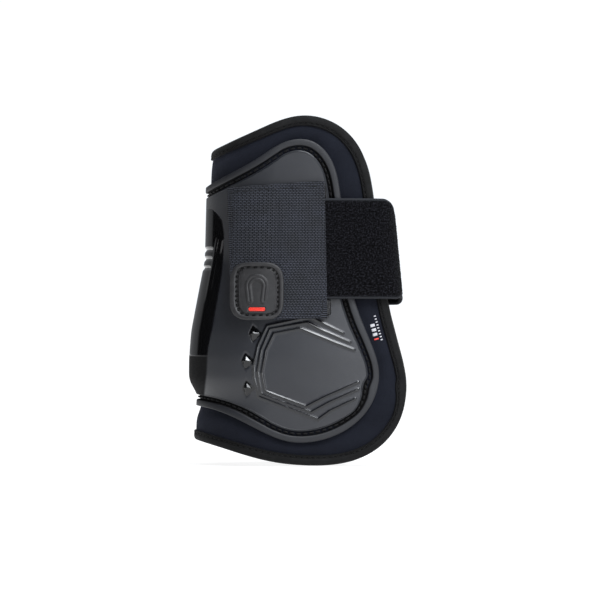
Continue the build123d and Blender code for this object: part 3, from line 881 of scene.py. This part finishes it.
# ---- badge ----
BADGE_ROWS = [
    (0.6, 11.56), (0.1, 11.6), (0.0, 11.85), (0.0, 12.9), (0.12, 13.25), (0.4, 13.45), (0.8, 13.5),
    (1.5, 13.45), (1.75, 13.3), (1.9, 12.9), (2.05, 12.62), (2.4, 12.6), (2.75, 12.62), (2.9, 12.8),
    (3.05, 13.0), (3.3, 13.08),
]
SHOE_OUTSIDE, SHOE_WIDTH, SHOE_MIDDLE, SHOE_HEELS = 11.0, 2.8, 2.5, -4.5
INLAY_SIZE, INLAY_LIFT, INLAY_RECESS = (8.0, 1.8), -8.6, (4.2, 1.1)


def badge_relief(u, z, x):
    """A horseshoe standing up with a groove along it, and a recess below it for the bar."""
    bx, bz = x - BADGE_MIDDLE[0], z - BADGE_MIDDLE[1]
    radius = (SHOE_OUTSIDE - SHOE_WIDTH) / 2
    turn = np.linspace(0, math.pi, 25)
    arch = [(radius * math.cos(t), SHOE_MIDDLE + radius * math.sin(t)) for t in turn]
    path = [(radius - 0.8, SHOE_HEELS)] + arch + [(-radius + 0.8, SHOE_HEELS)]
    away = line_distance(bx, bz, path)
    extra = 0.55 * ease((SHOE_WIDTH / 2 - away + 0.15) / 0.35)
    extra -= 0.3 * ease((0.38 - away) / 0.25)
    recess = np.maximum(np.abs(bx) - INLAY_RECESS[0], np.abs(bz - INLAY_LIFT) - INLAY_RECESS[1])
    return extra - 0.35 * ease((0.1 - recess) / 0.25)


def badge_box(width, height, lift):
    """A rectangle `lift` above the badge's middle, clockwise from its upper left corner."""
    mx, mz = BADGE_MIDDLE[0], BADGE_MIDDLE[1] + lift
    left, right = mx - width / 2, mx + width / 2
    high, low = mz + height / 2, mz - height / 2
    return [(left, high), (right, high), (right, low), (left, low)]


INLAY_ROWS = [(0.3, 12.6), (0.05, 12.65), (0.0, 12.8), (0.02, 13.0), (0.15, 13.1), (0.4, 13.15)]


def make_badge():
    counts = (110, 120)
    loop = side_loop(badge_box(*BADGE_SIZE, 0), 12.5, counts, 9.0)
    badge = plate("badge_plate", loop, counts, BADGE_ROWS, 13.08, badge_relief)
    belongs(badge, "strap_tab", "badge", "badge")
    ring = stitches("badge_stitches", loop + 2.35 * inward(loop), 12.62, 2.3, 1.5, 0.4, lift=0.2)
    belongs(ring, "strap_tab", "thread")
    counts = (30, 10)
    loop = side_loop(badge_box(*INLAY_SIZE, INLAY_LIFT), 13.1, counts, 0.8)
    inlay = plate("badge_bar", loop, counts, INLAY_ROWS, 13.17)
    belongs(inlay, "strap_tab", "red", "badge_inlay")
    return badge, ring, inlay


# ---- printed side mark: plain bars beside the front edge ----
MARK_TOP, MARK_BOTTOM = (36.6, 72.0), (40.2, 59.4)
MARK_LIFT = 0.06


def mark_bars(name, bars):
    """Thin raised bars on the foam.  Each is (share down the mark, offset forward, length, width)."""
    top, bottom = np.array(MARK_TOP), np.array(MARK_BOTTOM)
    down = (bottom - top) / np.hypot(*(bottom - top))
    forward = np.array([-down[1], down[0]])
    sheet = Sheet()
    for share, offset, length, width in bars:
        centre = top + share * (bottom - top) + offset * forward
        a = np.linspace(-length / 2, length / 2, 7)[:, None, None]
        b = np.linspace(-width / 2, width / 2, 5)[None, :, None]
        place = centre + a * forward + b * down
        x, z = place[..., 0], place[..., 1]
        u = unroll(x, z, FOAM_FACE)
        on_foam = FOAM_FACE + foam_swell(u, z, x)
        rim = 1 - np.maximum((np.abs(a[..., 0]) / (length / 2)) ** 8, (np.abs(b[..., 0]) / (width / 2)) ** 8)
        cloth = np.stack([u, z], axis=-1)
        face = sheet.add_points(wrap(u, z, on_foam + MARK_LIFT * (0.4 + 0.6 * rim)), cloth)
        back = sheet.add_points(wrap(u, z, on_foam - 0.1), cloth)
        sheet.add_quads(face, flip=True)
        sheet.add_quads(back)
        ring = [np.concatenate([g[0], g[1:, -1], g[-1, -2::-1], g[-2:0:-1, 0]]) for g in (face, back)]
        sheet.add_quads(np.array(ring), closed=True)
    return sheet.make(name)


def make_side_mark():
    ticks = [((k + 0.5) / 9, 0.0, 1.0, 0.55) for k in range(9)]
    blocks = [(0.36 + 0.17 * k, -2.3, 2.1, 1.35) for k in range(3)]
    pale = mark_bars("side_bars", ticks + blocks)
    red = mark_bars("side_bar_red", [(0.87, -2.3, 2.1, 0.7)])
    belongs(pale, "outer_side", "print", "side_mark")
    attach(red, "outer_side")
    return pale, red


strap = make_strap()
webbing, tab_seam = make_webbing()
hook = make_hook()
patch, patch_seam = make_patch()
inner_seam = make_inner_seam()
badge, badge_ring, inlay = make_badge()
side_mark, side_mark_red = make_side_mark()


# ---- materials ----
class Nodes:
    """Builds a node tree from numbers and other nodes' outputs."""

    def __init__(self, owner):
        owner.use_nodes = True
        self.tree = owner.node_tree

    def node(self, kind, inputs=None, **settings):
        node = self.tree.nodes.new(kind)
        for key, value in settings.items():
            setattr(node, key, value)
        for key, value in (inputs or {}).items():
            if isinstance(value, bpy.types.NodeSocket):
                self.tree.links.new(value, node.inputs[key])
            else:
                node.inputs[key].default_value = value
        return node

    def math(self, operation, first, second=0.0):
        return self.node("ShaderNodeMath", {0: first, 1: second}, operation=operation).outputs[0]

    def span(self, value, low, high, to_low=0.0, to_high=1.0):
        """A value carried from one range to another, and held inside it."""
        inputs = {0: value, 1: low, 2: high, 3: to_low, 4: to_high}
        return self.node("ShaderNodeMapRange", inputs).outputs[0]


class Paint(Nodes):
    """One procedural material.  Its patterns lie on the cloth coordinates, in cm."""

    def __init__(self, name, **sockets):
        self.material = bpy.data.materials.new(name)
        super().__init__(self.material)
        self.shader = self.tree.nodes["Principled BSDF"]
        for socket, value in sockets.items():
            self.shader.inputs[socket.replace("_", " ")].default_value = value
        self.cloth = self.node("ShaderNodeUVMap", uv_map="Cloth").outputs["UV"]

    def stretched(self, x, y):
        """Cloth coordinates scaled apart, for patterns longer one way."""
        inputs = {"Vector": self.cloth, "Scale": (x, y, 1)}
        return self.node("ShaderNodeMapping", inputs).outputs["Vector"]

    def noise(self, scale, detail=3.0, where=None):
        inputs = {"Vector": where or self.cloth, "Scale": scale, "Detail": detail}
        return self.node("ShaderNodeTexNoise", inputs).outputs["Fac"]

    def attribute(self, name):
        return self.node("ShaderNodeAttribute", attribute_name=name).outputs["Fac"]

    def blend(self, share, first, second):
        """A colour between two colours, each a triple or another node's output."""
        node = self.tree.nodes.new("ShaderNodeMix")
        node.data_type = "RGBA"
        pins = [pin for pin in node.inputs if pin.enabled and pin.type == "RGBA"]
        for pin, colour in zip(pins, (first, second)):
            if isinstance(colour, bpy.types.NodeSocket):
                self.tree.links.new(colour, pin)
            else:
                pin.default_value = (*colour, 1)
        if isinstance(share, bpy.types.NodeSocket):
            self.tree.links.new(share, node.inputs[0])
        else:
            node.inputs[0].default_value = share
        return [out for out in node.outputs if out.enabled][0]

    def finish(self, colour, rough, height=None, distance=0.0, strength=1.0):
        """The material, with its colour, roughness and any relief, `distance` metres high."""
        self.tree.links.new(colour, self.shader.inputs["Base Color"])
        self.tree.links.new(rough, self.shader.inputs["Roughness"])
        if height is not None:
            inputs = {"Height": height, "Distance": distance, "Strength": strength}
            bump = self.node("ShaderNodeBump", inputs)
            self.tree.links.new(bump.outputs["Normal"], self.shader.inputs["Normal"])
        return self.material


def shell_material():
    """Moulded rubbery plastic: satin grain, glossy where polished, matt and dark where tone is low; in the
    groove this is painted shade, and on the lowest back a painted dark reflection.
    """
    paint = Paint("moulded shell")
    polish = paint.attribute("polish")
    tone = paint.attribute("tone")
    grain = paint.noise(42, 4)
    clouds = paint.noise(0.7, 3)
    body = paint.blend(clouds, (0.0095, 0.0105, 0.0140), (0.0150, 0.0165, 0.0210))
    glossy = paint.blend(polish, body, (0.003, 0.003, 0.0034))
    # Low tone darkens the colour towards near black: painted shade in the groove, a painted dark reflection
    # on the lowest back.
    colour = paint.blend(paint.span(tone, 0, -1), glossy, (0.0015, 0.0015, 0.0018))
    scuffs = paint.span(paint.noise(5, 5, paint.stretched(1, 3)), 0.35, 0.75, -0.05, 0.07)
    satin = paint.math("ADD", paint.span(grain, 0.3, 0.7, 0.37, 0.45), scuffs)
    smooth = paint.span(grain, 0.3, 0.7, 0.05, 0.075)
    dull = paint.math("ADD", satin, paint.span(tone, 0, -1, 0, 0.4))
    unpolished = paint.math("SUBTRACT", 1.0, polish)
    matt = paint.span(paint.math("MULTIPLY", tone, unpolished), 0, -1, 0.5, 0.16)
    paint.tree.links.new(matt, paint.shader.inputs["Specular IOR Level"])
    left = paint.math("MULTIPLY", dull, unpolished)
    rough = paint.math("ADD", left, paint.math("MULTIPLY", smooth, polish))
    return paint.finish(colour, rough, paint.math("MULTIPLY", grain, unpolished), 0.00003, 0.6)


def neoprene_material():
    """Navy knitted jersey over foam."""
    paint = Paint("neoprene jersey", Specular_IOR_Level=0.12, Sheen_Weight=0.07, Sheen_Roughness=0.45)
    paint.shader.inputs["Sheen Tint"].default_value = (0.62, 0.68, 1, 1)
    knit = paint.node("ShaderNodeTexBrick", {
        "Vector": paint.cloth, "Scale": 1.0, "Color1": (1, 1, 1, 1), "Color2": (0.7, 0.7, 0.7, 1),
        "Mortar": (0, 0, 0, 1), "Mortar Size": 0.006, "Mortar Smooth": 1.0,
        "Brick Width": 0.062, "Row Height": 0.046,
    }).outputs["Color"]
    clouds = paint.span(paint.noise(1.1, 4), 0.3, 0.7)
    fibre = paint.noise(30, 3)
    body = paint.blend(clouds, (0.0034, 0.0042, 0.0074), (0.0056, 0.0067, 0.0112))
    speckled = paint.blend(paint.span(fibre, 0.45, 0.7, 0, 0.5), body, (0.0135, 0.016, 0.0245))
    colour = paint.blend(paint.span(knit, 0, 1, 0.45, 0), speckled, (0.002, 0.0024, 0.005))
    rough = paint.span(fibre, 0.3, 0.7, 0.82, 0.95)
    height = paint.math("ADD", knit, paint.math("MULTIPLY", fibre, 0.8))
    return paint.finish(colour, rough, height, 0.00006, 0.7)


def binding_material():
    """Folded woven tape with fine ribs across it, a little rubbed, and painted black in its creases as
    painted shade.
    """
    paint = Paint("binding tape", Specular_IOR_Level=0.14, Sheen_Weight=0.04, Sheen_Roughness=0.4)
    ribs = paint.node("ShaderNodeTexWave", {
        "Vector": paint.cloth, "Scale": 6.0, "Distortion": 0.5, "Detail": 1.0,
    }, bands_direction="X").outputs["Fac"]
    fibre = paint.noise(34, 3)
    rubbed = paint.span(paint.noise(1.6, 4), 0.45, 0.75, 0, 0.5)
    body = paint.blend(ribs, (0.0022, 0.0022, 0.0024), (0.0064, 0.0064, 0.0067))
    worn = paint.blend(paint.math("MULTIPLY", rubbed, fibre), body, (0.019, 0.019, 0.020))
    # Painted shade: tone -1 takes the tape's creases to near black.
    colour = paint.blend(paint.span(paint.attribute("tone"), 0, -1), worn, (0.0006, 0.0006, 0.0008))
    rough = paint.span(fibre, 0.3, 0.7, 0.68, 0.88)
    height = paint.math("ADD", ribs, paint.math("MULTIPLY", fibre, 0.7))
    return paint.finish(colour, rough, height, 0.00006, 0.8)


def loop_material():
    """Brushed loop pile, flat and woven along the strap's edges."""
    paint = Paint("loop pile", Specular_IOR_Level=0.05, Sheen_Weight=0.015, Sheen_Roughness=0.35)
    selvedge = paint.attribute("tone")
    tuft = paint.noise(13, 2)
    fibre = paint.noise(55, 3)
    mixed = paint.math("ADD", paint.math("MULTIPLY", tuft, 0.65), paint.math("MULTIPLY", fibre, 0.35))
    pile = paint.blend(paint.span(mixed, 0.47, 0.62), (0.0003, 0.0003, 0.0005), (0.0115, 0.0115, 0.0145))
    colour = paint.blend(selvedge, pile, (0.021, 0.022, 0.025))
    rough = paint.span(fibre, 0.3, 0.7, 0.8, 0.97)
    flat = paint.math("SUBTRACT", 1.0, paint.math("MULTIPLY", selvedge, 0.8))
    return paint.finish(colour, rough, paint.math("MULTIPLY", mixed, flat), 0.0004, 0.9)


def webbing_material():
    """Woven webbing: short floats in offset rows, and a plain selvedge at each end."""
    paint = Paint("tab webbing", Specular_IOR_Level=0.14, Sheen_Weight=0.03, Sheen_Roughness=0.4)
    selvedge = paint.attribute("tone")
    floats = paint.node("ShaderNodeTexBrick", {
        "Vector": paint.cloth, "Scale": 1.0, "Color1": (1, 1, 1, 1), "Color2": (0.78, 0.78, 0.78, 1),
        "Mortar": (0, 0, 0, 1), "Mortar Size": 0.025, "Mortar Smooth": 0.8,
        "Brick Width": 0.15, "Row Height": 0.08,
    }, offset=0.38, offset_frequency=2).outputs["Color"]
    ribs = paint.node("ShaderNodeTexWave", {
        "Vector": paint.cloth, "Scale": 3.2, "Distortion": 0.2,
    }, bands_direction="Y").outputs["Fac"]
    weave = paint.math("ADD", paint.math("MULTIPLY", floats, paint.math("SUBTRACT", 1.0, selvedge)),
                       paint.math("MULTIPLY", ribs, selvedge))
    fibre = paint.noise(48, 3)
    clouds = paint.span(paint.noise(0.8, 3), 0.35, 0.65)
    yarn = paint.blend(clouds, (0.029, 0.031, 0.037), (0.037, 0.040, 0.052))
    worn = paint.blend(paint.span(fibre, 0.5, 0.8, 0, 0.5), yarn, (0.066, 0.069, 0.080))
    colour = paint.blend(paint.span(weave, 0.2, 0.85), (0.0015, 0.0017, 0.0024), worn)
    rough = paint.span(fibre, 0.3, 0.7, 0.7, 0.9)
    height = paint.math("ADD", weave, paint.math("MULTIPLY", fibre, 0.25))
    return paint.finish(colour, rough, height, 0.00012, 0.8)


def thread_material(name, dark, light):
    """Twisted thread."""
    paint = Paint(name, Specular_IOR_Level=0.15, Sheen_Weight=0.02)
    twist = paint.node("ShaderNodeTexWave", {
        "Vector": paint.cloth, "Scale": 9.0, "Distortion": 0.4, "Detail": 1.0,
    }, bands_direction="DIAGONAL").outputs["Fac"]
    colour = paint.blend(twist, dark, light)
    rough = paint.span(paint.noise(40), 0.3, 0.7, 0.45, 0.62)
    return paint.finish(colour, rough, twist, 0.00005, 0.8)


def hook_material():
    """Rows of small moulded hooks on a nylon tape."""
    paint = Paint("hook tape", Specular_IOR_Level=0.35)
    hooks = paint.node("ShaderNodeTexVoronoi", {
        "Vector": paint.cloth, "Scale": 9.0, "Randomness": 0.35,
    }).outputs["Distance"]
    raised = paint.span(hooks, 0.1, 0.5, 1, 0)
    colour = paint.blend(raised, (0.004, 0.004, 0.0045), (0.02, 0.02, 0.022))
    rough = paint.span(paint.noise(30), 0.3, 0.7, 0.45, 0.65)
    return paint.finish(colour, rough, raised, 0.0003, 0.9)


def badge_material():
    """Matt moulded rubber, a little paler where it is handled."""
    paint = Paint("badge rubber", Specular_IOR_Level=0.4)
    grain = paint.noise(60, 4)
    handled = paint.span(paint.noise(3.5, 4), 0.45, 0.7, 0, 0.5)
    colour = paint.blend(handled, (0.0135, 0.0132, 0.0142), (0.025, 0.0245, 0.026))
    rough = paint.span(grain, 0.3, 0.7, 0.46, 0.6)
    return paint.finish(colour, rough, grain, 0.00002, 0.6)


def enamel_material(name, body, worn, roughness):
    """A thin coloured fill or print with small rubbed specks."""
    paint = Paint(name)
    specks = paint.span(paint.noise(28, 5), 0.62, 0.72, 0, 0.7)
    colour = paint.blend(specks, body, worn)
    rough = paint.span(paint.noise(50), 0.3, 0.7, roughness, roughness + 0.12)
    return paint.finish(colour, rough, paint.noise(45), 0.00001, 0.5)


def floor_material():
    """A plain pale floor that gives off enough light to stay white to the horizon."""
    paint = Paint("studio floor", Specular_IOR_Level=0.1, Emission_Strength=0.86)
    paint.shader.inputs["Emission Color"].default_value = (1, 1, 1, 1)
    colour = paint.blend(paint.noise(0.5), (0.36, 0.36, 0.36), (0.38, 0.38, 0.38))
    return paint.finish(colour, paint.span(paint.noise(3), 0.3, 0.7, 0.8, 0.9))


black_thread = thread_material("black thread", (0.0006, 0.0006, 0.0007), (0.0024, 0.0024, 0.0027))
groove_thread = thread_material("groove thread", (0.0012, 0.0012, 0.0014), (0.0075, 0.0075, 0.0082))
tab_thread = thread_material("tab thread", (0.006, 0.0062, 0.0075), (0.019, 0.02, 0.024))
loop_pile = loop_material()
red_fill = enamel_material("red fill", (0.62, 0.035, 0.022), (0.3, 0.02, 0.015), 0.3)
LOOKS = [
    (shell_material(), [shell]),
    (neoprene_material(), [lining]),
    (binding_material(), [binding]),
    (loop_pile, [*strap, patch]),
    (webbing_material(), [webbing]),
    (black_thread, [tape_seam, patch_seam, inner_seam, badge_ring]),
    (groove_thread, [shell_seam]),
    (tab_thread, [tab_seam]),
    (hook_material(), [hook]),
    (badge_material(), [badge]),
    (red_fill, [inlay, side_mark_red]),
    (enamel_material("white print", (0.42, 0.42, 0.44), (0.12, 0.12, 0.14), 0.5), [side_mark]),
]
for look, pieces in LOOKS:
    for piece in pieces:
        piece.data.materials.append(look)


# ---- floor, light and camera ----
def aimed(thing, place, target):
    thing.location = place
    thing.rotation_euler = (Vector(target) - Vector(place)).to_track_quat("-Z", "Y").to_euler()
    return thing


def softbox(name, place, target, size, power):
    data = bpy.data.lights.new(name, "AREA")
    data.shape = "RECTANGLE"
    data.size, data.size_y = size
    data.energy = power
    data.color = LIGHT_TINT
    return aimed(link(name, data), place, target)


def studio_world():
    """Dim behind, dark on the left, brighter on the right and overhead; the backdrop is white."""
    world = bpy.data.worlds.new("studio")
    nodes = Nodes(world)
    way = nodes.node("ShaderNodeSeparateXYZ", {
        0: nodes.node("ShaderNodeTexCoord").outputs["Generated"],
    }).outputs
    behind = nodes.span(way["Y"], 0.54, 0.62, 0.0, WALL_BEHIND)
    in_front = nodes.span(way["X"], -0.2, 0.75, WALL_LEFT, WALL_RIGHT)
    ceiling = nodes.span(way["Z"], 0.82, 0.92, 0.0, CEILING)
    light = nodes.math("MAXIMUM", nodes.math("MAXIMUM", behind, in_front), ceiling)
    to_camera = nodes.node("ShaderNodeLightPath").outputs["Is Camera Ray"]
    seen = nodes.math("MULTIPLY", to_camera, BACKDROP)
    wall = nodes.tree.nodes["Background"].inputs
    nodes.tree.links.new(nodes.math("MAXIMUM", light, seen), wall["Strength"])
    wall["Color"].default_value = (*LIGHT_TINT, 1)
    return world


LIGHT_TINT = (0.93, 0.96, 1.0)
WALL_BEHIND, WALL_LEFT, WALL_RIGHT = 0.26, 0.012, 0.6
CEILING, BACKDROP = 2.0, 1.1
CAMERA_DISTANCE = 2.2
CAMERA_TURN = 1.5  # degrees round towards the open front
VIEW_WIDTH = 0.2857
SENSOR = 36

bpy.context.scene.view_settings.view_transform = "Standard"
bpy.context.scene.world = studio_world()

low_corner, high_corner = (Vector(corner) for corner in CAD_BOX)
middle = (low_corner + high_corner) / 2
floor_mesh = bpy.data.meshes.new("floor")
floor_mesh.from_pydata([(-60, -60, 0), (60, -60, 0), (60, 60, 0), (-60, 60, 0)], [], [(0, 1, 2, 3)])
floor_mesh.uv_layers.new(name="Cloth")
floor_mesh.materials.append(floor_material())
floor = link("floor", floor_mesh)
floor.location.z = low_corner.z - 0.0005

softbox("key", middle + Vector((0.48, -0.64, 1.02)), middle, (0.5, 0.5), 16)
softbox("fill", middle + Vector((0.8, -1.45, -0.02)), middle, (0.5, 0.8), 8)
softbox("glint", middle + Vector((0.41, -0.92, 0.76)), middle, (0.34, 0.62), 7)

camera_data = bpy.data.cameras.new("camera")
camera = link("camera", camera_data)
turn = math.radians(CAMERA_TURN)
aim = Vector((0.0014, -0.035, 0.079))
aimed(camera, aim + CAMERA_DISTANCE * Vector((math.sin(turn), -math.cos(turn), 0)), aim)
camera_data.sensor_width = SENSOR
camera_data.lens = SENSOR * CAMERA_DISTANCE / VIEW_WIDTH
camera_data.clip_start = 0.05
camera_data.clip_end = 30
bpy.context.scene.camera = camera
